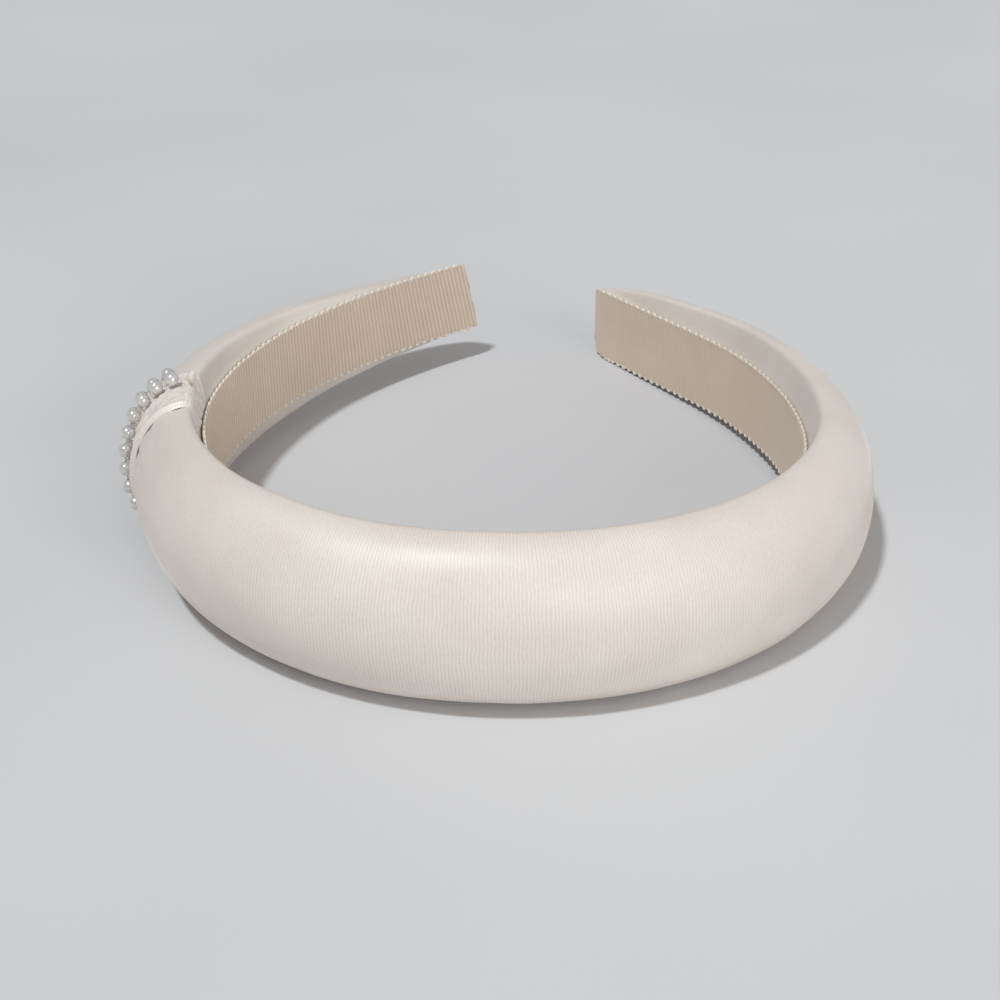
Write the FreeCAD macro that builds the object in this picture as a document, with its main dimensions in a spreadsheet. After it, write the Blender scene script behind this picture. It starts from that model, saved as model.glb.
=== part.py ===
import FreeCAD, Part
import math
import os

# Padded satin headband, lying on its lower edge: crown towards -Y, open tips towards +Y, +Z up.
# Every piece is placed on the band by three measures: "along", the distance along the ribbon's
# inner line from the middle of the crown (the left arm is negative); "out", the distance outwards
# from that line, square to it; and "up", the height above the middle of the ribbon.
V = FreeCAD.Vector
TOP = V(0, 0, 1)

SIZES = (
    ("crown_x", 2.192, "middle of the crown's inner face in the part's frame"),
    ("crown_y", -66.944, "middle of the crown's inner face in the part's frame"),
    ("crown_radius", 55.0, "inner radius of the crown, the part that grips the head"),
    ("crown_length", 55.0, "arc length of half the crown"),
    ("temple_length", 39.0, "next stretch of each arm"),
    ("right_temple_radius", 61.8, "its inner radius on the right"),
    ("left_temple_radius", 67.3, "its inner radius on the left"),
    ("arm_length", 32.0, "next stretch of each arm"),
    ("right_arm_radius", 101.0, "its inner radius on the right"),
    ("left_arm_radius", 83.0, "its inner radius on the left"),
    ("ear_length", 24.0, "next stretch of each arm"),
    ("right_ear_radius", 96.0, "its inner radius on the right"),
    ("left_ear_radius", 109.6, "its inner radius on the left"),
    ("tip_length", 38.4, "last stretch of each arm"),
    ("right_tip_radius", 850.0, "its inner radius on the right, nearly straight"),
    ("left_tip_radius", 159.4, "its inner radius on the left"),
    ("crown_half_width", 15.1, "padded band at the crown, half its width"),
    ("crown_depth", 13.2, "padded band at the crown, how far it stands out"),
    ("right_upper_tip", 7.0, "padded band at the right tip, from the middle up"),
    ("right_upper_hold", 3.9, "how long it keeps its width before it tapers"),
    ("right_upper_ease", 0.61, "how round the taper is; less is rounder"),
    ("left_upper_tip", 6.0, "the same at the left tip, where the ribbon stands higher"),
    ("left_upper_hold", 2.9, "the same"),
    ("left_upper_ease", 1.63, "the same"),
    ("right_lower_tip", 8.3, "padded band at the right tip, from the middle down"),
    ("right_lower_hold", 1.2, "the same"),
    ("right_lower_ease", 1.3, "the same"),
    ("left_lower_tip", 7.6, "padded band at the left tip, from the middle down"),
    ("left_lower_hold", 2.0, "the same"),
    ("left_lower_ease", 0.7, "the same"),
    ("right_depth_tip", 2.2, "how far the right tip stands out"),
    ("right_depth_hold", 3.5, "the same"),
    ("right_depth_ease", 0.4, "the same"),
    ("left_depth_tip", 2.2, "how far the left tip stands out"),
    ("left_depth_hold", 9.0, "the same"),
    ("left_depth_ease", 0.4, "the same"),
    ("crest_share", 0.13, "how far out the widest line lies, as a share of the depth"),
    ("wrap_lift", 0.36, "how much the wrap under the left arm lifts it off the floor"),
    ("ribbon_half_width", 8.0, "grosgrain ribbon, half of 16"),
    ("ribbon_thickness", 0.4, "grosgrain ribbon"),
    ("left_end_slant", 3.6, "how far the left end's lower corner passes its upper one"),
    ("right_corner_length", 2.2, "cut across the right end's lower corner, along the ribbon"),
    ("right_corner_height", 3.8, "cut across the right end's lower corner, up the end"),
    ("glue_half_width", 4.0, "strip of glue under the ribbon"),
    ("glue_thickness", 0.3, "strip of glue under the ribbon"),
    ("cover_flat", 0.8, "how far out the satin lies under the ribbon"),
    ("cover_thickness", 0.35, "satin with its backing"),
    ("cover_turn", 5.3, "how far from the middle the satin lies flat under the ribbon"),
    ("cover_gap", 3.0, "half the gap between the satin's two turned edges"),
    ("core_start", 1.25, "how far out the plastic band starts"),
    ("core_thickness", 1.2, "plastic band"),
    ("core_half_width", 5.0, "plastic band"),
    ("core_end", 183.0, "length of half the plastic band"),
    ("tape_thickness", 0.45, "double-sided tape"),
    ("tape_half_width", 4.5, "double-sided tape"),
    ("foam_start", 3.0, "how far out the foam's glued face lies"),
    ("foam_end", 183.0, "length of half the foam"),
    ("clearance", 0.05, "gap between layers that lie on each other"),
    ("wrap_near", -76.0, "edge of the gathered wrap that faces the crown"),
    ("wrap_far", -92.0, "edge of the gathered wrap that faces the left tip"),
    ("wrap_thickness", 0.9, "gathered satin between its rolled edges"),
    ("wrap_roll", 1.15, "gathered satin at its rolled edges"),
    ("roll_radius", 1.3, "half the width of a rolled edge"),
    ("wrap_tuck", 4.5, "how near the middle the wrap's ends reach under the ribbon"),
    ("pearl_diameter", 2.7, "imitation pearl"),
    ("pearl_hole", 0.6, "hole through it"),
    ("pearl_pitch", 3.45, "distance from pearl to pearl"),
    ("row_slant", 3.3, "how much the rows lean back from the middle to the top"),
    ("front_row", -82.5, "where the front row of pearls crosses the middle"),
    ("rear_row", -86.0, "where the rear row of pearls crosses the middle"),
    ("thread_diameter", 0.25, "beading thread"),
    ("knot_length", 2.4, "knot of satin at the top of the wrap"),
    ("knot_width", 1.7, "knot of satin at the top of the wrap"),
)
ARM_STRETCHES = ("temple", "arm", "ear", "tip")
ROWS = (("front", 76.0, 11), ("rear", 70.0, 10))
PATH_STATIONS = 33
COVER_STATIONS = 49
SECTION_POINTS = 19
WRAP_STATIONS = 25

doc = FreeCAD.newDocument("headband")
sheet = doc.addObject("Spreadsheet::Sheet", "sizes")
for row, (alias, value, note) in enumerate(SIZES, start=1):
    sheet.set(f"A{row}", note)
    sheet.set(f"B{row}", str(value))
    sheet.setAlias(f"B{row}", alias)
doc.recompute()
nodes = []


def size(alias):
    return float(sheet.get(alias))


# ---- the band's line, its height and its section ----


def half_length():
    return size("crown_length") + sum(size(f"{name}_length") for name in ARM_STRETCHES)


def side_arcs(side):
    """(radius, length) of the tangent arcs of one half, from the crown out."""
    arcs = [(size("crown_radius"), size("crown_length"))]
    for name in ARM_STRETCHES:
        arcs.append((size(f"{side}_{name}_radius"), size(f"{name}_length")))
    return arcs


def line_at(along, out=0.0):
    """Point of the plan at a distance along and out, and the outward direction there."""
    side, sign = ("right", 1) if along >= 0 else ("left", -1)
    x = y = heading = 0.0
    left = abs(along)
    arcs = side_arcs(side)
    while left > 0:
        radius, length = arcs.pop(0)
        run = min(left, length) if arcs else left
        turned = heading + run / radius
        x += radius * (math.sin(turned) - math.sin(heading))
        y += radius * (math.cos(heading) - math.cos(turned))
        heading = turned
        left -= run
    outward = V(sign * math.sin(heading), -math.cos(heading), 0)
    return V(sign * x + size("crown_x"), y + size("crown_y"), 0) + outward * out, outward


def taper(measure, crown, along):
    """The crown's measure, held along the arm and then rounded down to its value at the tip."""
    side = "right" if along >= 0 else "left"
    tip, hold, ease = (size(f"{side}_{measure}_{word}") for word in ("tip", "hold", "ease"))
    share = abs(along) / half_length()
    return tip + (crown - tip) * max(0.0, 1 - share**hold) ** ease


def half_width(along, angle):
    """From the ribbon's middle to the crest above it, or below it for a negative angle."""
    measure = "upper" if angle > 0 else "lower"
    return taper(measure, size("crown_half_width"), along)


def depth(along):
    return taper("depth", size("crown_depth"), along)


def middle_height(along):
    """The right half lies on its lower edge; the left half stays level, on its wrap."""
    if along >= 0:
        return half_width(along, -1)
    share = -along / half_length()
    return size("crown_half_width") + size("wrap_lift") * (1 - max(0.0, 1 - share**2) ** 8)


def place(along, out, up):
    point, _ = line_at(along, out)
    return point + TOP * (middle_height(along) + up)


def crest(along):
    return size("cover_flat") + size("crest_share") * depth(along)


def skin_point(along, angle, grown=0.0):
    """(out, up) on the padded outside; angle 0 is the outermost point and 90 the upper crest."""
    reach = depth(along) + grown - crest(along)
    width = half_width(along, angle) + grown
    return crest(along) + reach * math.cos(angle), width * math.sin(angle)


def above_skin(along, angle, lift):
    """(out, up) at a square distance from the padded section."""
    out, up = skin_point(along, angle)
    normal = V(
        half_width(along, angle) * math.cos(angle),
        (depth(along) - crest(along)) * math.sin(angle),
        0,
    ).normalize()
    return out + lift * normal.x, up + lift * normal.y


# ---- solids that follow the line ----


def stations(start, end, count=PATH_STATIONS):
    """Distances along the line, closer together towards both of its ends."""
    middle, half = (start + end) / 2, (end - start) / 2
    return [middle + half * math.sin(math.pi * (k / (count - 1) - 0.5)) for k in range(count)]


def outside_points(along, grown, limit=math.pi / 2):
    """Points round the padded outside, from one crest to the other."""
    points = []
    for k in range(SECTION_POINTS):
        angle = limit * (2 * k / (SECTION_POINTS - 1) - 1)
        points.append(place(along, *skin_point(along, angle, grown)))
    return points


def outline(points, inner_edge):
    curve = Part.BSplineCurve()
    curve.interpolate(points)
    return Part.Wire([curve.toShape(), inner_edge])


def ring(along, grown):
    """Closed outline of the padded section, grown outwards by a distance."""
    points = outside_points(along, grown)
    hollow = place(along, size("cover_flat") - grown, 0)
    return outline(points, Part.Arc(points[-1], hollow, points[0]).toShape())


def rectangle(along, out_from, out_to, reach):
    corners = ((out_from, -reach), (out_to, -reach), (out_to, reach), (out_from, reach))
    points = [place(along, out, up) for out, up in corners]
    return Part.makePolygon(points + points[:1])


def padded_solid(places, grown):
    return Part.makeLoft([ring(along, grown) for along in places], True)


def height_band(start, end, out_from, out_to, reach):
    """Solid within reach of the ribbon's middle height, a little wider than a strip."""
    wires = [rectangle(a, out_from, out_to, reach) for a in stations(start, end)]
    return Part.makeLoft(wires, True)


def stretch_ends(start, end):
    """The places between start and end where one arc of the line meets the next."""
    edges = {0.0}
    reached = 0.0
    for name in ("crown",) + ARM_STRETCHES:
        reached += size(f"{name}_length")
        edges.update((reached, -reached))
    inner = sorted(edge for edge in edges if start < edge < end)
    return [start] + inner + [end]


def arc_run(ends, out):
    """Exact arcs at a distance out, through the given places along the line."""
    edges = []
    for first, last in zip(ends, ends[1:]):
        spots = [line_at(a, out)[0] for a in (first, (first + last) / 2, last)]
        edges.append(Part.Arc(*spots).toShape())
    return edges


def strip(start, end, out_from, out_to, reach):
    """Band of constant thickness and width that follows the line on exact arcs."""
    ends = stretch_ends(start, end)
    inner, outer = arc_run(ends, out_from), arc_run(ends, out_to)
    caps = [
        Part.makeLine(line_at(along, out_from)[0], line_at(along, out_to)[0])
        for along in (start, end)
    ]
    wire = Part.Wire(Part.__sortEdges__(inner + outer + caps))
    wall = Part.Face(wire).extrude(TOP * (3 * size("crown_half_width")))
    return wall.common(height_band(start - 1, end + 1, out_from - 1, out_to + 1, reach))


# ---- sub-parts ----


def add_node(label, shape):
    """A sub-part whose shape follows the band, so no sketch or primitive can hold it."""
    feature = doc.addObject("Part::Feature", label)
    feature.Label = label
    feature.Shape = shape.Solids[0] if len(shape.Solids) == 1 else shape
    feature.Placement = FreeCAD.Placement()
    nodes.append(feature)


def end_wedge(side, corners, reach_out):
    """Prism square to the ribbon's end; its corners are (past the end, above the middle)."""
    tip = side * half_length()
    _, outward = line_at(tip)
    onwards = TOP.cross(outward) * side
    base = place(tip, 0, 0) - outward * 2
    points = [base + onwards * past + TOP * up for past, up in corners]
    return Part.Face(Part.makePolygon(points + points[:1])).extrude(outward * (2 + reach_out))


def make_ribbon():
    """Plain strip whose left end is cut on a slant and whose right end has one cut corner."""
    length, reach = half_length(), size("ribbon_half_width")
    thickness = size("ribbon_thickness")
    ribbon = strip(-length, length, 0.0, thickness, reach)
    slant = size("left_end_slant")
    left = end_wedge(
        -1,
        (
            (slant / 2, -2 * reach),
            (-3 * slant / 2, 2 * reach),
            (2 * slant, 2 * reach),
            (2 * slant, -2 * reach),
        ),
        2 * thickness,
    )
    cut_length, cut_height = size("right_corner_length"), size("right_corner_height")
    right = end_wedge(
        1,
        (
            (-2 * cut_length, -reach - cut_height),
            (cut_length, -reach - cut_height),
            (cut_length, -reach + 2 * cut_height),
        ),
        2 * thickness,
    )
    add_node("ribbon_liner", ribbon.cut(left).cut(right))


def make_glue():
    start = size("ribbon_thickness") + size("clearance")
    length = half_length() - 2 * size("left_end_slant")
    thickness, reach = size("glue_thickness"), size("glue_half_width")
    add_node("liner_adhesive", height_band(-length, length, start, start + thickness, reach))


def hem_corners(along, side):
    """Corners of one turned edge, from the outer crest to the hem and back to the inner crest."""
    near, thickness = size("cover_flat"), size("cover_thickness")
    width = half_width(along, side)
    flat, hem = min(size("cover_turn"), width - 1), size("cover_gap")
    corners = (
        (crest(along), width),
        (near, flat),
        (near, hem),
        (near + thickness, hem),
        (near + thickness, flat),
        (crest(along), width - thickness),
    )
    return [place(along, out, side * up) for out, up in corners]


def cover_outline(along):
    """Closed outline of the satin alone: out round the padding and back along its inside."""
    upper, lower = hem_corners(along, 1), hem_corners(along, -1)
    curves = []
    for grown in (0.0, -size("cover_thickness")):
        curve = Part.BSplineCurve()
        curve.interpolate(outside_points(along, grown))
        curves.append(curve.toShape())
    rims = []
    for corners in (upper, lower):
        rims.append([Part.makeLine(a, b) for a, b in zip(corners, corners[1:])])
    return Part.Wire([curves[0]] + rims[0] + [curves[1]] + rims[1][::-1])


def make_cover():
    """Satin sleeve, open along the inside between its two turned edges and at both tips."""
    places = stations(-half_length(), half_length(), COVER_STATIONS)
    add_node("satin_cover", Part.makeLoft([cover_outline(along) for along in places], True))


def make_core():
    start, end = size("core_start"), size("core_end")
    thickness, reach = size("core_thickness"), size("core_half_width")
    add_node("band_core", strip(-end, end, start, start + thickness, reach))


def make_tape():
    start = size("core_start") + size("core_thickness") + size("clearance")
    end = size("core_end") - size("clearance")
    stop = start + size("tape_thickness")
    add_node("foam_tape", strip(-end, end, start, stop, size("tape_half_width")))


def foam_outline(along):
    """D section: the padded outline inside the satin, closed by the glued face."""
    skin = size("cover_thickness") + size("clearance")
    middle = crest(along)
    reach = depth(along) - skin - middle
    limit = math.acos((size("foam_start") - middle) / reach)
    points = outside_points(along, -skin, limit)
    return outline(points, Part.makeLine(points[-1], points[0]))


def make_foam():
    end = size("foam_end")
    add_node("foam_pad", Part.makeLoft([foam_outline(a) for a in stations(-end, end)], True))


def wrap_outside():
    """Rolled at both edges and thinner between them."""
    near, far = size("wrap_near"), size("wrap_far")
    thin, roll, radius = size("wrap_thickness"), size("wrap_roll"), size("roll_radius")
    rings = []
    for k in range(WRAP_STATIONS):
        along = near + (far - near) * k / (WRAP_STATIONS - 1)
        off_centre = min(abs(along - near), abs(along - far)) / radius - 1
        grown = thin + (roll - thin) * math.exp(-(off_centre**2) * 2)
        rings.append(ring(along, grown))
    return Part.makeLoft(rings, True)


def make_wrap():
    """Gathered satin strip round the left arm, its ends tucked under the ribbon's edges."""
    near, far = size("wrap_near"), size("wrap_far")
    gap = size("clearance")
    body = padded_solid(stations(far - 1, near + 1), gap)
    ribbon_room = height_band(
        far - 1, near + 1, -3, size("ribbon_thickness") + gap, size("ribbon_half_width") + 0.3
    )
    tuck_room = height_band(far - 1, near + 1, -3, size("cover_flat"), size("wrap_tuck"))
    add_node("gathered_wrap", wrap_outside().cut(body).cut(ribbon_room).cut(tuck_room))


# ---- pearls and threads ----


def row_spots(name, first_angle, count):
    """Pearl centres one pitch apart round the outside of the wrap, from the top down."""
    lift = size("wrap_thickness") + size("pearl_diameter") / 2 + size("clearance")

    def spot(angle):
        along = size(f"{name}_row") - size("row_slant") * math.sin(angle)
        return place(along, *above_skin(along, angle, lift))

    angle = math.radians(first_angle)
    spots = [spot(angle)]
    while len(spots) < count:
        angle -= math.radians(0.05)
        if spot(angle).distanceToPoint(spots[-1]) >= size("pearl_pitch"):
            spots.append(spot(angle))
    return spots


def aim(position, direction):
    return FreeCAD.Placement(position, FreeCAD.Rotation(TOP, direction))


def add_pearl(label, centre, direction):
    """Sphere with a hole along its row."""
    ball = doc.addObject("Part::Sphere", f"{label}_ball")
    ball.setExpression("Radius", "sizes.pearl_diameter / 2")
    hole = doc.addObject("Part::Cylinder", f"{label}_hole")
    hole.setExpression("Radius", "sizes.pearl_hole / 2")
    hole.setExpression("Height", "sizes.pearl_diameter * 2")
    hole.Placement = FreeCAD.Placement(V(0, 0, -size("pearl_diameter")), FreeCAD.Rotation())
    pearl = doc.addObject("Part::Cut", label)
    pearl.Label = label
    pearl.Base = ball
    pearl.Tool = hole
    pearl.Placement = aim(centre, direction)
    nodes.append(pearl)


def thread_run(spots):
    """Thread pulled straight from pearl to pearl, a little past the first and the last."""
    radius, spare = size("thread_diameter") / 2, size("pearl_diameter") * 0.6
    first = spots[0] + (spots[0] - spots[1]).normalize() * spare
    last = spots[-1] + (spots[-1] - spots[-2]).normalize() * spare
    points = [first] + spots + [last]
    pieces = [Part.makeSphere(radius, point) for point in points]
    for start, end in zip(points, points[1:]):
        pieces.append(Part.makeCylinder(radius, start.distanceToPoint(end), start, end - start))
    return pieces[0].multiFuse(pieces[1:]).removeSplitter()


def couching(spots, lift):
    """Short stitches from halfway between two pearls down to the satin."""
    radius = size("thread_diameter") / 2
    stitches = []
    for start, end in zip(spots, spots[1:]):
        middle = (start + end) / 2
        inward = inward_at(start, end)
        top = middle + inward * (radius + size("clearance"))
        stitches.append(Part.makeCylinder(radius, lift, top, inward))
    return stitches


def inward_at(start, end):
    """Direction from the row towards the inside of the band, square to the row."""
    along = (size("wrap_near") + size("wrap_far")) / 2
    centre = place(along, crest(along) + depth(along) * 0.3, 0)
    run = (end - start).normalize()
    inward = centre - (start + end) / 2
    return (inward - run * inward.dot(run)).normalize()


def make_rows():
    stitches = []
    for name, first_angle, count in ROWS:
        spots = row_spots(name, first_angle, count)
        for number, centre in enumerate(spots, start=1):
            before = spots[max(number - 2, 0)]
            after = spots[min(number, count - 1)]
            add_pearl(f"pearl_{name}_{number:02d}", centre, after - before)
        add_node(f"beading_thread_{name}", thread_run(spots))
        stitches += couching(spots, size("pearl_diameter") / 2 - 4 * size("clearance"))
    add_node("couching_stitches", Part.makeCompound(stitches))


def make_knot():
    """Small knot of satin on the crest, behind the front rolled edge."""
    along = size("wrap_near") - 10.0
    lift = size("wrap_roll") + size("knot_width") / 2
    out, up = above_skin(along, math.radians(92), lift)
    knot = doc.addObject("Part::Ellipsoid", "wrap_knot")
    knot.Label = "wrap_knot"
    knot.setExpression("Radius1", "sizes.knot_width / 2")
    knot.setExpression("Radius2", "sizes.knot_length / 2")
    knot.setExpression("Radius3", "sizes.knot_width / 2")
    knot.Placement = aim(place(along, out, up), line_at(along)[1])
    nodes.append(knot)


def write_parts():
    os.makedirs("parts", exist_ok=True)
    for thing in doc.Objects:
        broken = {"Invalid", "Error"} & set(thing.State)
        if broken:
            raise RuntimeError(f"{thing.Name}: {sorted(broken)}")
    for node in nodes:
        if node.Shape.isNull() or not node.Shape.isValid() or node.Shape.Volume <= 0:
            raise RuntimeError(f"{node.Label}: not a valid solid")
    for node in nodes:
        node.Shape.exportStep(f"parts/{node.Label}.step")
        print(f"{node.Label}: {len(node.Shape.Solids)} solid, {node.Shape.Volume:.2f} mm3")


make_core()
make_tape()
make_foam()
make_cover()
make_glue()
make_ribbon()
make_wrap()
make_rows()
make_knot()
doc.recompute()
write_parts()
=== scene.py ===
import math

import bpy
import numpy as np
from mathutils import Matrix, Vector


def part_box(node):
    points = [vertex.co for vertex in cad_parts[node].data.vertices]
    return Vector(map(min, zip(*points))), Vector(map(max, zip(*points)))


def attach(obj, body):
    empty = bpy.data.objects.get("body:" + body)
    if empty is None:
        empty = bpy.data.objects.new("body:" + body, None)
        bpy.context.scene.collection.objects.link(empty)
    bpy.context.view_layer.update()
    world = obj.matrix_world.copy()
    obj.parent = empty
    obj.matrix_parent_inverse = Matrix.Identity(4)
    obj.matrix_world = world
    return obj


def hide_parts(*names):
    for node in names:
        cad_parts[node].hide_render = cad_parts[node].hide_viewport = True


# Padded satin headband. Each soft piece follows the band by the same three measures as the part:
# "along" the ribbon's inner line from the middle of the crown (the left arm is negative), "out"
# from that line, and "up" from the middle of the ribbon. Those measures are in millimetres here,
# and place() turns them into the frame's metres.
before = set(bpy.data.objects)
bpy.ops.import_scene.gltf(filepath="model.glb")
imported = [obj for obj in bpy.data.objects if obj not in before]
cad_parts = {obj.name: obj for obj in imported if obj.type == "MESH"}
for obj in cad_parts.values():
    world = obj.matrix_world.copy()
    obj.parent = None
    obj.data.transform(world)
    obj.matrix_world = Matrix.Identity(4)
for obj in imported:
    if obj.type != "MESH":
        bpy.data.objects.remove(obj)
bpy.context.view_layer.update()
MM = 0.001
TAU = 2 * math.pi

# ---- camera ----

CAMERA_TARGET = Vector((0.000117, 0.000808, 0.0))
CAMERA_DISTANCE = 0.359202
CAMERA_AZIMUTH = math.radians(4.792)
CAMERA_ELEVATION = math.radians(27.022)
CAMERA_ROLL = math.radians(-0.569)
CAMERA_LENS = 64.8


def add_camera():
    forward = Vector(
        (
            -math.sin(CAMERA_AZIMUTH) * math.cos(CAMERA_ELEVATION),
            math.cos(CAMERA_AZIMUTH) * math.cos(CAMERA_ELEVATION),
            -math.sin(CAMERA_ELEVATION),
        )
    )
    level = Vector((math.cos(CAMERA_AZIMUTH), math.sin(CAMERA_AZIMUTH), 0))
    upright = level.cross(forward)
    right = math.cos(CAMERA_ROLL) * level + math.sin(CAMERA_ROLL) * upright
    above = -math.sin(CAMERA_ROLL) * level + math.cos(CAMERA_ROLL) * upright
    data = bpy.data.cameras.new("camera")
    data.lens = CAMERA_LENS
    data.clip_start = 0.01
    camera = bpy.data.objects.new("camera", data)
    turn = Matrix((right, above, -forward)).transposed().to_4x4()
    camera.matrix_world = Matrix.Translation(CAMERA_TARGET - forward * CAMERA_DISTANCE) @ turn
    bpy.context.scene.collection.objects.link(camera)
    bpy.context.scene.camera = camera


add_camera()

# ---- the band's line, its height and its section ----

CROWN = (2.192, -66.944)
ARCS = {
    1: ((55.0, 55.0), (61.8, 39.0), (101.0, 32.0), (96.0, 24.0), (850.0, 38.4)),
    -1: ((55.0, 55.0), (67.3, 39.0), (83.0, 32.0), (109.6, 24.0), (159.4, 38.4)),
}
HALF_LENGTH = sum(length for _, length in ARCS[1])
CROWN_HALF_WIDTH, CROWN_DEPTH = 15.1, 13.2
# How each measure runs from the crown to the tip: its value there, how long it keeps the crown's
# value, and how round the taper is. Each has one line for the right arm and one for the left.
TAPERS = {
    "upper": ((7.0, 3.9, 0.61), (6.0, 2.9, 1.63)),
    "lower": ((8.3, 1.2, 1.3), (7.6, 2.0, 0.7)),
    "depth": ((2.2, 3.5, 0.4), (2.2, 9.0, 0.4)),
}
CREST_SHARE, WRAP_LIFT = 0.13, 0.36
LOWER_CREST_LEAN = 2.5
RIBBON_HALF, RIBBON_THICKNESS = 8.0, 0.4
LEFT_END_SLANT, SLANT_RUN = 3.6, 60
RIGHT_CORNER, CORNER_RUN = (2.2, 3.8), 8
COVER_FLAT, COVER_GAP = 0.8, 3.0
WRAP_NEAR, WRAP_FAR = -76.0, -92.0


def line_at(along):
    """Points of the plan (x, y) and the outward directions there, for an array of distances."""
    along = np.asarray(along, float)
    point, outward = np.zeros(along.shape + (2,)), np.zeros(along.shape + (2,))
    for sign, arcs in ARCS.items():
        chosen = along >= 0 if sign > 0 else along < 0
        left = np.abs(along[chosen])
        x, y, heading = np.zeros_like(left), np.zeros_like(left), np.zeros_like(left)
        for number, (radius, length) in enumerate(arcs):
            run = left if number == len(arcs) - 1 else np.minimum(left, length)
            turned = heading + run / radius
            x += radius * (np.sin(turned) - np.sin(heading))
            y += radius * (np.cos(heading) - np.cos(turned))
            heading, left = turned, left - run
        point[chosen] = np.stack([sign * x + CROWN[0], y + CROWN[1]], -1)
        outward[chosen] = np.stack([sign * np.sin(heading), -np.cos(heading)], -1)
    return point, outward


def taper(measure, crown, along):
    share = np.abs(along) / HALF_LENGTH
    made = []
    for tip, hold, ease in TAPERS[measure]:
        made.append(tip + (crown - tip) * np.maximum(0, 1 - share**hold) ** ease)
    return np.where(np.asarray(along) >= 0, *made)


def half_width(along, measure):
    """From the ribbon's middle to the "upper" or the "lower" crest."""
    return taper(measure, CROWN_HALF_WIDTH, along)


def depth(along):
    return taper("depth", CROWN_DEPTH, along)


def crest(along):
    return COVER_FLAT + CREST_SHARE * depth(along)


def lower_crest(along):
    """The right arm's lower crest leans out, so that the ribbon hides the satin under it."""
    share = np.asarray(along) / HALF_LENGTH
    lean = smoothstep(share, 0.0, 0.3) * (1 - smoothstep(share, 0.55, 0.95))
    return crest(along) + LOWER_CREST_LEAN * lean


def middle_height(along):
    """The right half lies on its lower edge; the left half stays level, on its wrap."""
    share = np.abs(along) / HALF_LENGTH
    left = CROWN_HALF_WIDTH + WRAP_LIFT * (1 - np.maximum(0, 1 - share**2) ** 8)
    return np.where(np.asarray(along) < 0, left, half_width(along, "lower"))


def place(along, out, up):
    """Points in metres; the three measures are arrays of one shape, or numbers."""
    along, out, up = np.broadcast_arrays(*(np.asarray(v, float) for v in (along, out, up)))
    point, outward = line_at(along)
    plan = point + outward * out[..., None]
    return np.concatenate([plan, (middle_height(along) + up)[..., None]], -1) * MM


def smoothstep(x, start=0.0, end=1.0):
    t = np.clip((x - start) / (end - start), 0, 1)
    return t * t * (3 - 2 * t)


def hump(x, width):
    return np.exp(-((x / width) ** 2))


# ---- smooth noise in the band's own measures, the same on each run ----


def noise(u, v, seed):
    """Smooth value noise from -1 to 1; u and v are in cells."""
    u, v = np.broadcast_arrays(np.asarray(u, float), np.asarray(v, float))
    iu, iv = np.floor(u).astype(np.int64), np.floor(v).astype(np.int64)
    fu, fv = smoothstep(u - iu), smoothstep(v - iv)

    def corner(a, b):
        mixed = (a * 374761393 + b * 668265263 + seed * 2147483647) & 0xFFFFFFFF
        mixed = ((mixed ^ (mixed >> 13)) * 1274126177) & 0xFFFFFFFF
        return ((mixed ^ (mixed >> 16)) & 0xFFFF) / 32767.5 - 1

    low = corner(iu, iv) * (1 - fu) + corner(iu + 1, iv) * fu
    high = corner(iu, iv + 1) * (1 - fu) + corner(iu + 1, iv + 1) * fu
    return low * (1 - fv) + high * fv


# ---- meshes ----


def add_mesh(name, points, faces, uv=None, smooth=True):
    mesh = bpy.data.meshes.new(name)
    mesh.from_pydata(np.asarray(points).reshape(-1, 3).tolist(), [], faces)
    mesh.validate()
    if uv is not None:
        layer = mesh.uv_layers.new(name="UVMap")
        loops = np.zeros(len(mesh.loops), np.int32)
        mesh.loops.foreach_get("vertex_index", loops)
        layer.data.foreach_set("uv", np.asarray(uv, np.float32).reshape(-1, 2)[loops].ravel())
    mesh.polygons.foreach_set("use_smooth", [smooth] * len(mesh.polygons))
    if smooth:
        mesh.set_sharp_from_angle(angle=math.radians(60))
    piece = bpy.data.objects.new(name, mesh)
    bpy.context.scene.collection.objects.link(piece)
    return piece


def grid_faces(rows, columns, wrapped=False, start=0):
    """Quads of a grid stored row by row; wrapped joins each row's last column to its first."""
    faces = []
    last = columns if wrapped else columns - 1
    for i in range(rows - 1):
        for j in range(last):
            k = (j + 1) % columns
            a, b = start + i * columns, start + (i + 1) * columns
            faces.append((a + j, a + k, b + k, b + j))
    return faces


def end_faces(rows, columns):
    """One face over each end of a grid stored row by row."""
    first, last = tuple(range(columns)), range((rows - 1) * columns, rows * columns)
    return [first, tuple(reversed(last))]


def finish_piece(piece, material, slot, *replaced):
    piece.data.materials.clear()
    piece.data.materials.append(material)
    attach(piece, "root")
    if replaced:
        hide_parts(*replaced)
    return piece


# ---- materials ----


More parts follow.
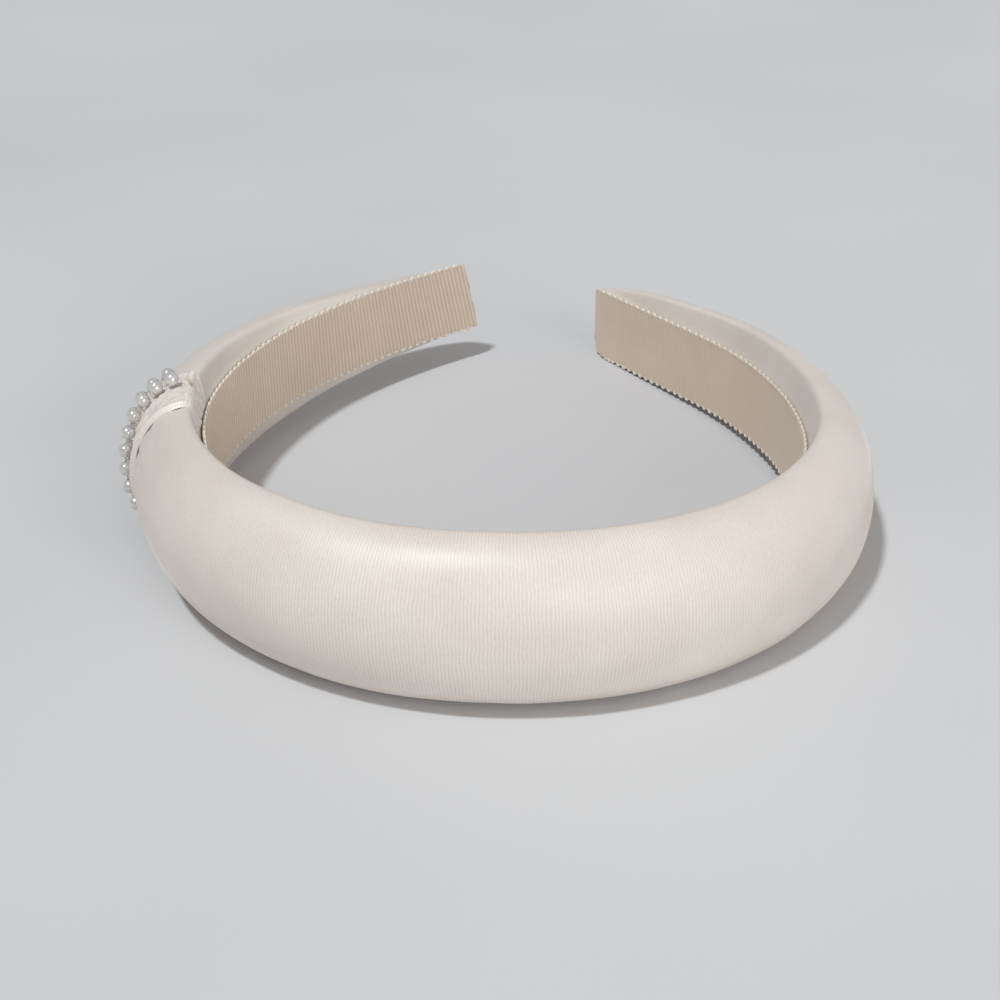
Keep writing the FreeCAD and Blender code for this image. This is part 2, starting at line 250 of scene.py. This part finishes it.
class Shader:
    """A Principled material and short ways to add the nodes that drive it."""

    def __init__(self, name, **settings):
        self.material = bpy.data.materials.new(name)
        self.material.use_nodes = True
        self.tree = self.material.node_tree
        self.surface = self.tree.nodes["Principled BSDF"]
        for socket, value in settings.items():
            self.surface.inputs[socket.replace("_", " ")].default_value = value

    def node(self, kind, inputs=(), **settings):
        node = self.tree.nodes.new(kind)
        for key, value in settings.items():
            setattr(node, key, value)
        for socket, value in dict(inputs).items():
            self.put(node.inputs[socket], value)
        return node

    def put(self, socket, value):
        if isinstance(value, bpy.types.NodeSocket):
            self.tree.links.new(value, socket)
        else:
            socket.default_value = value

    def set(self, socket, value):
        self.put(self.surface.inputs[socket], value)

    def math(self, operation, first, second=0.0, third=0.0):
        node = self.node("ShaderNodeMath", operation=operation)
        for socket, value in zip(node.inputs, (first, second, third)):
            self.put(socket, value)
        return node.outputs[0]

    def coordinates(self, kind="UV"):
        return self.node("ShaderNodeTexCoord").outputs[kind]

    def scaled(self, vector, scale):
        node = self.node("ShaderNodeMapping", {"Vector": vector})
        node.inputs["Scale"].default_value = scale
        return node.outputs[0]

    def split(self, vector):
        return self.node("ShaderNodeSeparateXYZ", {0: vector}).outputs

    def noise(self, vector, scale, detail=2.0, roughness=0.5):
        inputs = {"Vector": vector, "Scale": scale, "Detail": detail, "Roughness": roughness}
        return self.node("ShaderNodeTexNoise", inputs).outputs["Fac"]

    def wave(self, value, pitch, shift=0.0):
        """0 to 1 and back once for each pitch, in the value's own unit."""
        turned = self.math("MULTIPLY_ADD", value, TAU / pitch, shift)
        return self.math("MULTIPLY_ADD", self.math("SINE", turned), 0.5, 0.5)

    def ramp(self, factor, *stops):
        node = self.node("ShaderNodeValToRGB", {"Fac": factor})
        elements = node.color_ramp.elements
        while len(elements) < len(stops):
            elements.new(0.5)
        for element, (position, colour) in zip(elements, stops):
            element.position = position
            element.color = (*colour, 1)
        return node.outputs["Color"]

    def bump(self, height, distance, strength=1.0):
        inputs = {"Height": height, "Distance": distance, "Strength": strength}
        normal = self.surface.inputs["Normal"]
        if normal.is_linked:
            inputs["Normal"] = normal.links[0].from_socket
        node = self.node("ShaderNodeBump", inputs)
        self.set("Normal", node.outputs[0])


SATIN_PITCH = 0.5 * MM
RIB_PITCH = 1.08


def satin_material(name, dark, light, gloss=0.36):
    """Champagne satin: fine ribs across the band, a crepe grain between them, a soft sheen."""
    s = Shader(name, Roughness=gloss, Anisotropic=0.15, Sheen_Weight=0.25, Sheen_Roughness=0.35)
    s.set("Specular IOR Level", 0.55)
    uv = s.coordinates()
    along, _, _ = s.split(uv)
    grain = s.noise(s.scaled(uv, (1.0, 0.35, 1.0)), 3200.0, 3.0, 0.6)
    drift = s.noise(uv, 260.0, 2.0)
    ribs = s.wave(along, SATIN_PITCH, s.math("MULTIPLY", drift, 9.0))
    patch = s.noise(uv, 45.0, 3.0, 0.55)
    weave = s.math("MULTIPLY_ADD", ribs, 0.35, s.math("MULTIPLY", grain, 0.65))
    tone = s.math("MULTIPLY_ADD", weave, 0.55, s.math("MULTIPLY_ADD", patch, 0.5, -0.02))
    s.set("Base Color", s.ramp(tone, (0.2, dark), (0.8, light)))
    s.set("Roughness", s.math("MULTIPLY_ADD", grain, 0.14, gloss - 0.05))
    s.bump(ribs, 0.010 * MM, 0.8)
    s.bump(grain, 0.030 * MM, 0.8)
    tangent = s.node("ShaderNodeTangent", direction_type="UV_MAP", uv_map="UVMap")
    s.set("Tangent", tangent.outputs[0])
    return s.material


def grosgrain_material():
    """Matt ribbed ribbon: fine threads run the length of it; its ribs fade on the right arm."""
    s = Shader("grosgrain", Roughness=0.62, Sheen_Weight=0.15, Sheen_Roughness=0.5)
    s.set("Specular IOR Level", 0.4)
    uv = s.coordinates()
    along, across, _ = s.split(uv)
    threads = s.wave(across, 0.24 * MM)
    ribs = s.wave(along, RIB_PITCH * MM, math.pi / 2)
    shown = s.math("MINIMUM", s.math("MULTIPLY_ADD", along, -9.0, 0.7), 1.0)
    shown = s.math("MAXIMUM", shown, 0.25)
    ribs = s.math("MULTIPLY_ADD", s.math("SUBTRACT", ribs, 0.5), shown, 0.5)
    grain = s.noise(s.scaled(uv, (0.4, 1.0, 1.0)), 4200.0, 3.0, 0.6)
    patch = s.noise(uv, 60.0, 3.0, 0.55)
    tone = s.math("MULTIPLY_ADD", ribs, 0.40, s.math("MULTIPLY", grain, 0.35))
    tone = s.math("MULTIPLY_ADD", patch, 0.30, tone)
    s.set("Base Color", s.ramp(tone, (0.15, (0.50, 0.395, 0.305)), (0.85, (0.77, 0.65, 0.535))))
    s.bump(threads, 0.020 * MM, 0.7)
    s.bump(grain, 0.040 * MM, 0.6)
    return s.material


def thread_material(name, colour, pitch=0.18):
    """Twisted yarn: slanting strands and a little fluff."""
    s = Shader(name, Roughness=0.55, Sheen_Weight=0.2, Sheen_Roughness=0.5)
    spot = s.coordinates("Object")
    x, y, z = s.split(spot)
    slant = s.math("ADD", s.math("ADD", x, y), z)
    strands = s.wave(slant, pitch * MM)
    grain = s.noise(spot, 6000.0, 2.0)
    shade = s.math("MULTIPLY_ADD", strands, 0.6, s.math("MULTIPLY", grain, 0.4))
    dark = tuple(0.72 * c for c in colour)
    s.set("Base Color", s.ramp(shade, (0.2, dark), (0.75, colour)))
    s.bump(strands, 0.03 * MM)
    return s.material


def pearl_material():
    """Pearl lacquer over plastic: a clear gloss, a faint pink and green play of colour."""
    s = Shader("pearl", Roughness=0.2, Metallic=0.5, Coat_Weight=1.0, Coat_Roughness=0.05)
    s.set("Specular IOR Level", 0.7)
    s.set("Sheen Weight", 0.15)
    spot = s.coordinates("Object")
    clouds = s.noise(spot, 520.0, 3.0, 0.5)
    colour = s.ramp(
        clouds,
        (0.25, (0.60, 0.60, 0.61)),
        (0.5, (0.72, 0.71, 0.69)),
        (0.75, (0.65, 0.67, 0.67)),
    )
    s.set("Base Color", colour)
    s.bump(s.noise(spot, 2600.0, 2.0), 0.006 * MM)
    return s.material


def plain_material(name, dark, light, roughness, scale, relief):
    """A mottled material for the pieces inside the band."""
    s = Shader(name)
    spot = s.coordinates("Object")
    mottle = s.noise(spot, scale, 4.0, 0.6)
    s.set("Base Color", s.ramp(mottle, (0.3, dark), (0.7, light)))
    s.set("Roughness", s.math("MULTIPLY_ADD", mottle, 0.2, roughness - 0.1))
    s.bump(mottle, relief * MM)
    return s.material


def foam_material():
    s = Shader("foam", Roughness=0.9, Sheen_Weight=0.1)
    spot = s.coordinates("Object")
    cells = s.node("ShaderNodeTexVoronoi", {"Vector": spot, "Scale": 1400.0}).outputs["Distance"]
    s.set("Base Color", s.ramp(cells, (0.1, (0.93, 0.90, 0.80)), (0.6, (0.70, 0.66, 0.55))))
    s.bump(cells, -0.25 * MM)
    return s.material


SATIN = satin_material("satin", (0.565, 0.50, 0.44), (0.79, 0.735, 0.68), 0.42)
WRAP_SATIN = satin_material("satin_wrap", (0.60, 0.535, 0.48), (0.84, 0.79, 0.73), 0.38)
GROSGRAIN = grosgrain_material()
PICOT = thread_material("picot_yarn", (0.92, 0.84, 0.74), 0.30)
THREAD = thread_material("sewing_thread", (0.84, 0.79, 0.72))
PEARL = pearl_material()
FOAM = foam_material()

# ---- sections ----


def even_rows(section, count):
    """Each row of points (out, up) laid out again at even steps, with the steps' length."""
    steps = np.linalg.norm(np.diff(section, axis=1), axis=-1)
    run = np.concatenate([np.zeros((len(section), 1)), np.cumsum(steps, 1)], 1)
    made = np.empty((len(section), count, 2))
    for row, (distance, points) in enumerate(zip(run, section)):
        spots = np.linspace(0, distance[-1], count)
        for axis in (0, 1):
            made[row, :, axis] = np.interp(spots, distance, points[:, axis])
    return made, run[:, -1]


def rounded(section, width):
    """The section with its corners eased over a few points; the two ends stay put."""
    pad = math.ceil(3 * width)
    kernel = hump(np.arange(-pad, pad + 1), width)
    kernel /= kernel.sum()
    eased = np.empty_like(section)
    for axis in (0, 1):
        held = np.pad(section[..., axis], ((0, 0), (pad, pad)), "reflect", reflect_type="odd")
        for row in range(len(section)):
            eased[row, :, axis] = np.convolve(held[row], kernel, "valid")
    return eased


def half_section(along, measure, edge, grown, gap, bulge):
    """Rows of (out, up) of one side: from the outermost point over the crest to the hem."""
    width, deep = half_width(along, measure) + grown, depth(along) + grown
    angle = np.linspace(0, math.pi / 2, 91)[None, :]
    outer = np.stack([edge + (deep - edge) * np.cos(angle), width * np.sin(angle)], -1)
    share = np.linspace(1, 0, 60)[None, :]
    foot = np.minimum(RIBBON_HALF - 0.2, width - 0.6)
    lean = COVER_FLAT - grown + (edge - COVER_FLAT + grown) * share**0.55
    lean = lean - bulge * np.sin(math.pi * share) * smoothstep(width - foot, 0.5, 4)
    side = np.stack([lean, foot + (width - foot) * share], -1)
    flat_up = gap + (foot - gap) * np.linspace(1, 0, 20)[None, :]
    flat = np.stack([np.full_like(flat_up, COVER_FLAT) - grown, flat_up], -1)
    return np.concatenate([outer, side[:, 1:], flat[:, 1:]], 1)


def padded_section(along, count, grown=0.0, gap=COVER_GAP, bulge=0.1):
    """Rows of (out, up) from the lower hem, round the padded outside, to the upper hem."""
    along = np.asarray(along, float)[:, None]
    upper = half_section(along, "upper", crest(along), grown, gap, bulge)
    lower = half_section(along, "lower", lower_crest(along), grown, gap, bulge)
    lower = lower * np.array([1.0, -1.0])
    return even_rows(np.concatenate([lower[:, ::-1], upper[:, 1:]], 1), count)


# ---- satin cover and foam ----

COVER_ROWS, COVER_COLUMNS = 760, 144
COVER_THICKNESS, COVER_EASE = 0.3, 1.6
TIP_CROWDING = 0.6
TIP_ROUNDING = 0.7
FOAM_ROWS, FOAM_COLUMNS = 240, 72
FOAM_END, FOAM_FACE, FOAM_INSET = 182.5, 3.05, 0.85
WRAP_MIDDLE = (WRAP_NEAR + WRAP_FAR) / 2


def end_eased(values, length):
    """Distances that crowd towards both ends of the band."""
    share = np.linspace(-1, 1, values)
    eased = share + TIP_CROWDING * np.sin(math.pi * share) / math.pi
    return eased * length


def left_slant(along, up):
    """How far the left tip's slanted end draws each point back, easing in along the arm."""
    return (
        LEFT_END_SLANT
        * (up + RIBBON_HALF)
        / (2 * RIBBON_HALF)
        * smoothstep(-along, HALF_LENGTH - SLANT_RUN, HALF_LENGTH)
    )


def cover_shape():
    along = end_eased(COVER_ROWS, HALF_LENGTH)
    section, girth = padded_section(along, COVER_COLUMNS)
    section = rounded(section, COVER_EASE)
    run = np.linspace(-0.5, 0.5, COVER_COLUMNS)[None, :] * girth[:, None]
    tangent = np.gradient(section, axis=1)
    normal = np.stack([tangent[..., 1], -tangent[..., 0]], -1)
    normal /= np.linalg.norm(normal, axis=-1, keepdims=True)
    lift = cover_relief(along[:, None], run, section)
    section = section + normal * lift[..., None]
    spot = along[:, None] + left_slant(along[:, None], section[..., 1])
    points = place(spot, section[..., 0], section[..., 1])
    uv = np.stack(np.broadcast_arrays(along[:, None] * MM, run * MM), -1)
    return along, section, points, uv


def cover_relief(along, run, section):
    """How far the satin stands off the plain section: soft dents, and puckers by the wrap."""
    dents = 0.16 * noise(along / 17, run / 9, 3) + 0.07 * noise(along / 7, run / 4.5, 5)
    free = smoothstep(section[..., 0], 0.9, 3.0)
    near = hump(np.maximum(0, along - WRAP_NEAR), 5.0) + hump(np.maximum(0, WRAP_FAR - along), 6.0)
    folds = np.abs(np.sin(run / 1.9 + 0.5 * noise(along / 3, run / 3, 9))) - 0.6
    pulled = near * (along < WRAP_NEAR + 12) * (along > WRAP_FAR - 14)
    pinch = hump(along - WRAP_MIDDLE, 9.0)
    return dents * free + 0.16 * folds * pulled * free - 0.35 * pinch * free


def add_end_caps(points, uv, along, section):
    """Rounds off both tips with shrinking rows beyond the last one."""
    rows, coords = [], []
    for end, sign in ((0, -1), (-1, 1)):
        middle = section[end].mean(0)
        extra, extra_uv = [], []
        for step in (0.5, 0.8, 0.95, 1.0):
            shrink = math.sqrt(max(0.0, 1 - step**2)) * 0.9 + 0.1
            past = along[end] + sign * TIP_ROUNDING * step
            ring = middle + (section[end] - middle) * (0.35 + 0.65 * shrink)
            slanted = past + left_slant(np.array(past), ring[:, 1])
            extra.append(place(slanted, ring[:, 0], ring[:, 1]))
            extra_uv.append(uv[end] + np.array([sign * TIP_ROUNDING * step * MM, 0]))
        rows.append(extra if sign > 0 else extra[::-1])
        coords.append(extra_uv if sign > 0 else extra_uv[::-1])
    return (
        np.concatenate([rows[0], points, rows[1]]),
        np.concatenate([coords[0], uv, coords[1]]),
    )


def add_cover():
    along, section, points, uv = cover_shape()
    points, uv = add_end_caps(points, uv, along, section)
    rows, columns = points.shape[:2]
    faces = grid_faces(rows, columns) + end_faces(rows, columns)
    cover = add_mesh("satin_cover_cloth", points, faces, uv)
    thickness = cover.modifiers.new("thickness", "SOLIDIFY")
    thickness.thickness = COVER_THICKNESS * MM
    thickness.offset = -1
    from_hem_to_hem = float(np.median(uv[:, -1, 1] - uv[:, 0, 1]))
    return finish_piece(cover, SATIN, "satin", "satin_cover"), from_hem_to_hem


def add_foam():
    along = end_eased(FOAM_ROWS, FOAM_END)
    section, _ = padded_section(along, FOAM_COLUMNS, -FOAM_INSET, 2.0, 0.0)
    section = rounded(section, 1.5)
    section[..., 0] = np.maximum(section[..., 0], FOAM_FACE)
    run = np.arange(FOAM_COLUMNS)[None, :] * 0.8
    swell = 0.05 * noise(along[:, None] / 2.0, run / 2.0, 21)
    points = place(along[:, None], section[..., 0] + np.minimum(swell, 0), section[..., 1])
    faces = grid_faces(FOAM_ROWS, FOAM_COLUMNS, wrapped=True)
    faces += end_faces(FOAM_ROWS, FOAM_COLUMNS)
    foam = add_mesh("foam_core_pad", points, faces)
    return finish_piece(foam, FOAM, "foam", "foam_pad")


# ---- ribbon with ribs and picot edges ----

SAMPLES_PER_RIB = 8
RIB_HEIGHT = 0.15
FLAT_RIBS = 0.7
PICOT_END = 1.5


def ribbon_spot(along, up):
    """Slants the left end and takes off the right end's lower corner, easing in from each."""
    cut_length, cut_height = RIGHT_CORNER
    right = cut_length * np.maximum(0, 1 - (up + RIBBON_HALF) / cut_height)
    right_ease = smoothstep(along, HALF_LENGTH - CORNER_RUN, HALF_LENGTH)
    return along + left_slant(along, up) - right * right_ease


def ribbon_dent(along, up):
    """The ribbon's soft unevenness where it is glued over the satin."""
    return 0.10 * noise(along / 13, up / 7, 31) + 0.05 * noise(along / 5, up / 3, 33)


def add_ribbon():
    count = int(2 * HALF_LENGTH / RIB_PITCH * SAMPLES_PER_RIB) + 1
    along = np.linspace(-HALF_LENGTH, HALF_LENGTH, count)[:, None]
    front_up = np.linspace(-RIBBON_HALF, RIBBON_HALF, 17)
    back_up = np.linspace(RIBBON_HALF, -RIBBON_HALF, 5)
    up = np.concatenate([front_up, back_up])[None, :]
    front = (np.arange(up.shape[1]) < len(front_up))[None, :]
    rib = np.abs(np.sin(math.pi * along / RIB_PITCH)) ** 0.7
    edge = smoothstep(RIBBON_HALF - np.abs(up), 0, 0.5)
    height = RIB_HEIGHT * (1 - FLAT_RIBS * smoothstep(along, -20, 50))
    face = -height * rib * (0.45 + 0.55 * edge) + ribbon_dent(along, up)
    back = RIBBON_THICKNESS + ribbon_dent(along, up)
    points = place(ribbon_spot(along, up), np.where(front, face, back), up + 0 * along)
    uv = np.stack(np.broadcast_arrays(along * MM, up * MM), -1)
    columns = up.shape[1]
    faces = grid_faces(count, columns, wrapped=True) + end_faces(count, columns)
    ribbon = add_mesh("ribbon_grosgrain", points, faces, uv)
    return finish_piece(ribbon, GROSGRAIN, "grosgrain", "ribbon_liner")


PICOT_PITCH = 2 * RIB_PITCH
PICOT_RADIUS, PICOT_YARN = 0.30, 0.27


def add_picots(name, side):
    """A loop of yarn at every second rib along one edge of the ribbon."""
    count = int(2 * (HALF_LENGTH - PICOT_END) / PICOT_PITCH)
    turns, ring = 9, 8
    around = np.linspace(-0.15, 1.15, turns)[:, None] * math.pi
    tube = np.linspace(0, TAU, ring, endpoint=False)[None, :]
    reach = PICOT_RADIUS + PICOT_YARN * np.cos(tube)
    loop_along = reach * np.cos(around) * 1.15
    loop_up = reach * np.sin(around)
    loop_out = PICOT_YARN * np.sin(tube) + 0 * around
    points, faces = [], []
    for k in range(count):
        centre = -HALF_LENGTH + PICOT_END + (k + 0.5) * PICOT_PITCH
        uneven = 1 + 0.12 * math.sin(k * 2.399) + 0.06 * math.sin(k * 5.1)
        up = side * (RIBBON_HALF - 0.05 + loop_up * uneven)
        spot = ribbon_spot(np.array(centre), np.array(side * RIBBON_HALF))
        dent = ribbon_dent(np.array(centre), np.array(side * RIBBON_HALF))
        along = spot + loop_along * uneven
        points.append(place(along, loop_out + 0.06 + dent, up).reshape(-1, 3))
        faces += grid_faces(turns, ring, wrapped=True, start=k * turns * ring)
        faces.append(tuple(k * turns * ring + np.arange(ring)))
        faces.append(tuple(k * turns * ring + (turns - 1) * ring + np.arange(ring)[::-1]))
    faces = [tuple(int(i) for i in face) for face in faces]
    picots = add_mesh(name, np.concatenate(points), faces)
    return finish_piece(picots, PICOT, "grosgrain")


# ---- gathered wrap, knot, pearls and threads ----

WRAP_ROWS, WRAP_COLUMNS = 130, 420
WRAP_BASE, ROLL_HEIGHT, ROLL_MIDDLE, ROLL_WIDTH = 0.55, 0.62, 0.85, 0.75
PLEAT_PITCH, PLEAT_HEIGHT, INNER_PLEAT_HEIGHT = 3.1, 0.22, 0.75


def wrap_height(along, run, inner):
    """How far the gathered satin stands off the padded skin."""
    from_near, from_far = WRAP_NEAR - along, along - WRAP_FAR
    rolls = hump(from_near - ROLL_MIDDLE, ROLL_WIDTH) + hump(from_far - ROLL_MIDDLE, ROLL_WIDTH)
    base = WRAP_BASE * smoothstep(from_near, 0, 1.2) * smoothstep(from_far, 0, 1.2)
    wander = 0.9 * noise(run / 9, along / 5, 41)
    pleats = np.abs(np.sin(math.pi * (from_near + wander) / PLEAT_PITCH)) ** 0.8
    puckers = 0.22 * noise(along / 1.5, run / 1.3, 43) + 0.12 * noise(along / 0.8, run / 0.8, 45)
    middle = smoothstep(from_near, 1.6, 3.4) * smoothstep(from_far, 1.6, 3.4)
    fold = (PLEAT_HEIGHT * pleats + 1.3 * puckers * (1 - inner)) * middle
    fold = fold + INNER_PLEAT_HEIGHT * pleats * inner * middle
    return base * (1 - 0.6 * inner) + ROLL_HEIGHT * rolls * (1 - 0.3 * inner) + fold


def add_wrap():
    along = np.linspace(WRAP_NEAR, WRAP_FAR, WRAP_ROWS)
    section, girth = padded_section(along, WRAP_COLUMNS, 0.02, COVER_GAP + 1.5)
    section = rounded(section, 5)
    run = np.linspace(-0.5, 0.5, WRAP_COLUMNS)[None, :] * girth[:, None]
    tangent = np.gradient(section, axis=1)
    normal = np.stack([tangent[..., 1], -tangent[..., 0]], -1)
    normal /= np.linalg.norm(normal, axis=-1, keepdims=True)
    inner = smoothstep(-section[..., 0], -crest(along)[:, None] - 0.6, -COVER_FLAT - 0.2)
    lift = wrap_height(along[:, None], run, inner)
    tucked = smoothstep(np.abs(section[..., 1]), RIBBON_HALF - 0.6, RIBBON_HALF + 0.9)
    covered = np.maximum(tucked, smoothstep(section[..., 0], 1.5, 2.5))
    section = section + normal * (lift * covered)[..., None]
    points = place(along[:, None], section[..., 0], section[..., 1])
    uv = np.stack(np.broadcast_arrays(run * MM, along[:, None] * MM), -1)
    wrap = add_mesh("gathered_wrap_cloth", points, grid_faces(WRAP_ROWS, WRAP_COLUMNS), uv)
    wrap.data.flip_normals()
    return finish_piece(wrap, WRAP_SATIN, "satin_wrap", "gathered_wrap")


def add_knot():
    """A bit of satin folded over itself: an egg with three deep folds along it."""
    low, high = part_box("wrap_knot")
    middle, half = (low + high) / 2, (high - low) / 2
    rows, columns = 24, 36
    tilt = np.linspace(0.04, math.pi - 0.04, rows)[:, None]
    turn = np.linspace(0, TAU, columns, endpoint=False)[None, :]
    fold = 1 + 0.20 * np.abs(np.sin(1.5 * turn + 0.8 * np.cos(tilt))) - 0.08
    fold = fold + 0.05 * np.sin(5 * tilt + turn)
    egg = np.stack(
        [
            fold * np.sin(tilt) * np.cos(turn) * half.x,
            np.cos(tilt) * half.y * 1.25 + 0 * turn,
            fold * np.sin(tilt) * np.sin(turn) * half.z,
        ],
        -1,
    )
    faces = grid_faces(rows, columns, wrapped=True) + end_faces(rows, columns)
    uv = np.stack(np.broadcast_arrays(turn * half.x, tilt * half.y), -1)
    knot = add_mesh("wrap_knot_cloth", egg + np.array(middle), faces, uv)
    return finish_piece(knot, WRAP_SATIN, "satin_wrap", "wrap_knot")


def dress_cad_nodes():
    """Finishes of the CAD pieces that stay as they are."""
    finishes = {
        "band_core": plain_material(
            "core_plastic", (0.78, 0.76, 0.71), (0.88, 0.86, 0.82), 0.35, 300.0, 0.01
        ),
        "foam_tape": plain_material(
            "tape", (0.84, 0.81, 0.68), (0.93, 0.91, 0.82), 0.6, 900.0, 0.03
        ),
        "liner_adhesive": plain_material(
            "hot_melt", (0.80, 0.72, 0.55), (0.90, 0.85, 0.72), 0.25, 350.0, 0.08
        ),
        "couching_stitches": THREAD,
        "beading_thread_front": THREAD,
        "beading_thread_rear": THREAD,
    }
    for name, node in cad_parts.items():
        material = PEARL if name.startswith("pearl_") else finishes.get(name)
        if material is not None:
            for slot in node.material_slots:
                slot.material = material
            if not node.material_slots:
                node.data.materials.append(material)


# ---- floor and light ----


def add_floor():
    s = Shader("floor", Roughness=0.75)
    spot = s.coordinates("Object")
    cloud = s.noise(spot, 6.0, 2.0)
    s.set("Base Color", s.ramp(cloud, (0.3, (0.58, 0.585, 0.60)), (0.7, (0.62, 0.625, 0.635))))
    reach, drop = 3.0, 0.0002
    corners = [(-reach, -reach, 0), (reach, -reach, 0), (reach, reach, 0), (-reach, reach, 0)]
    floor = add_mesh("floor", np.array(corners) - (0, 0, drop), [(0, 1, 2, 3)], None, False)
    floor.data.materials.append(s.material)


SUN_DIRECTION = Vector((-0.261, -0.368, 1.0))


def aim(lamp, direction):
    lamp.rotation_euler = direction.to_track_quat("Z", "Y").to_euler()


def add_lamp(name, kind, energy, direction, distance=0.0, **settings):
    data = bpy.data.lights.new(name, kind)
    data.energy = energy
    for key, value in settings.items():
        setattr(data, key, value)
    lamp = bpy.data.objects.new(name, data)
    direction = Vector(direction).normalized()
    lamp.location = direction * distance
    aim(lamp, direction)
    bpy.context.scene.collection.objects.link(lamp)
    return lamp


def add_light():
    add_lamp("sun", "SUN", 1.9, SUN_DIRECTION, angle=math.radians(5), color=(0.95, 0.98, 1.0))
    add_lamp(
        "side_panel", "AREA", 0.2, (0.9, 0.35, 0.55), 0.9, size=0.5, color=(1.0, 0.98, 0.95)
    )
    add_lamp("front_panel", "AREA", 10.4, (0.55, -0.8, 0.27), 1.6, size=0.8)
    world = bpy.data.worlds.new("studio")
    world.use_nodes = True
    sky = world.node_tree.nodes["Background"]
    sky.inputs["Color"].default_value = (0.43, 0.415, 0.405, 1)
    sky.inputs["Strength"].default_value = 0.84
    bpy.context.scene.world = world
    bpy.context.scene.view_settings.view_transform = "Standard"


add_light()
add_floor()
cover, girth = add_cover()
foam = add_foam()
ribbon = add_ribbon()
upper_picots = add_picots("ribbon_picots_upper", 1)
lower_picots = add_picots("ribbon_picots_lower", -1)
wrap = add_wrap()
knot = add_knot()
dress_cad_nodes()
